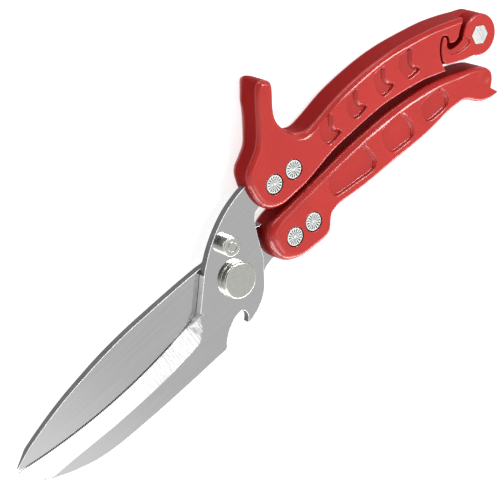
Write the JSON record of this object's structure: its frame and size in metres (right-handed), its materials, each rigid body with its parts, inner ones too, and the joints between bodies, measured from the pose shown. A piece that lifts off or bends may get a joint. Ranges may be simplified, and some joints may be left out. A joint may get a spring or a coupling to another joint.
{
  "type": "poultry shears",
  "caption": "Closed poultry shears with lacquered handles, a thumb horn, a bone-breaking notch behind the blade and a swinging tail latch.",
  "frame": {"origin": "on the pivot axis, at the plane on which the closed shears rest, which is the back of the pivot bolt's head", "axes": "+X from the blade tips to the handle tails, +Y towards the thumb horn, +Z from the resting plane up through the plates"},
  "size_m": [0.2544, 0.0806, 0.014],
  "materials": {
    "blade_steel": "fine satin, nearly mirror",
    "handle_red": "satin powder coat over die casting",
    "latch_red": "satin powder coat over die casting",
    "pivot_steel": "turned, with polished rims",
    "washer_steel": "polished",
    "rivet_steel": "bright, with pressed radial ribs",
    "fastener_steel": "bright zinc"
  },
  "bodies": {
    "upper_half": {"near_blade": "blade_steel", "upper_handle": "handle_red", "pivot_bolt": "pivot_steel", "pivot_nut": "pivot_steel", "pivot_washer": "washer_steel", "pivot_spring_washer": "washer_steel", "stop_pin": "pivot_steel", "upper_front_rivet_stud": "rivet_steel", "upper_front_rivet_sleeve": "rivet_steel", "upper_rear_rivet_stud": "rivet_steel", "upper_rear_rivet_sleeve": "rivet_steel", "latch_washer": "washer_steel"},
    "lower_half": {"far_blade": "blade_steel", "lower_handle": "handle_red", "lower_front_rivet_stud": "rivet_steel", "lower_front_rivet_sleeve": "rivet_steel", "lower_rear_rivet_stud": "rivet_steel", "lower_rear_rivet_sleeve": "rivet_steel"},
    "latch": {"latch_hook": "latch_red", "latch_nut": "fastener_steel", "latch_bolt": "fastener_steel"}
  },
  "joints": [
    {"name": "blade_pivot", "type": "hinge", "parent": "upper_half", "child": "lower_half", "pos_m": [0, 0, 0.007], "axis": [0, 0, 1], "range_deg": [-28, 0.5]},
    {"name": "latch_pivot", "type": "hinge", "parent": "upper_half", "child": "latch", "pos_m": [0.1382, 0.0106, 0.0107], "axis": [0, 0, 1], "range_deg": [0, 10]}
  ]
}
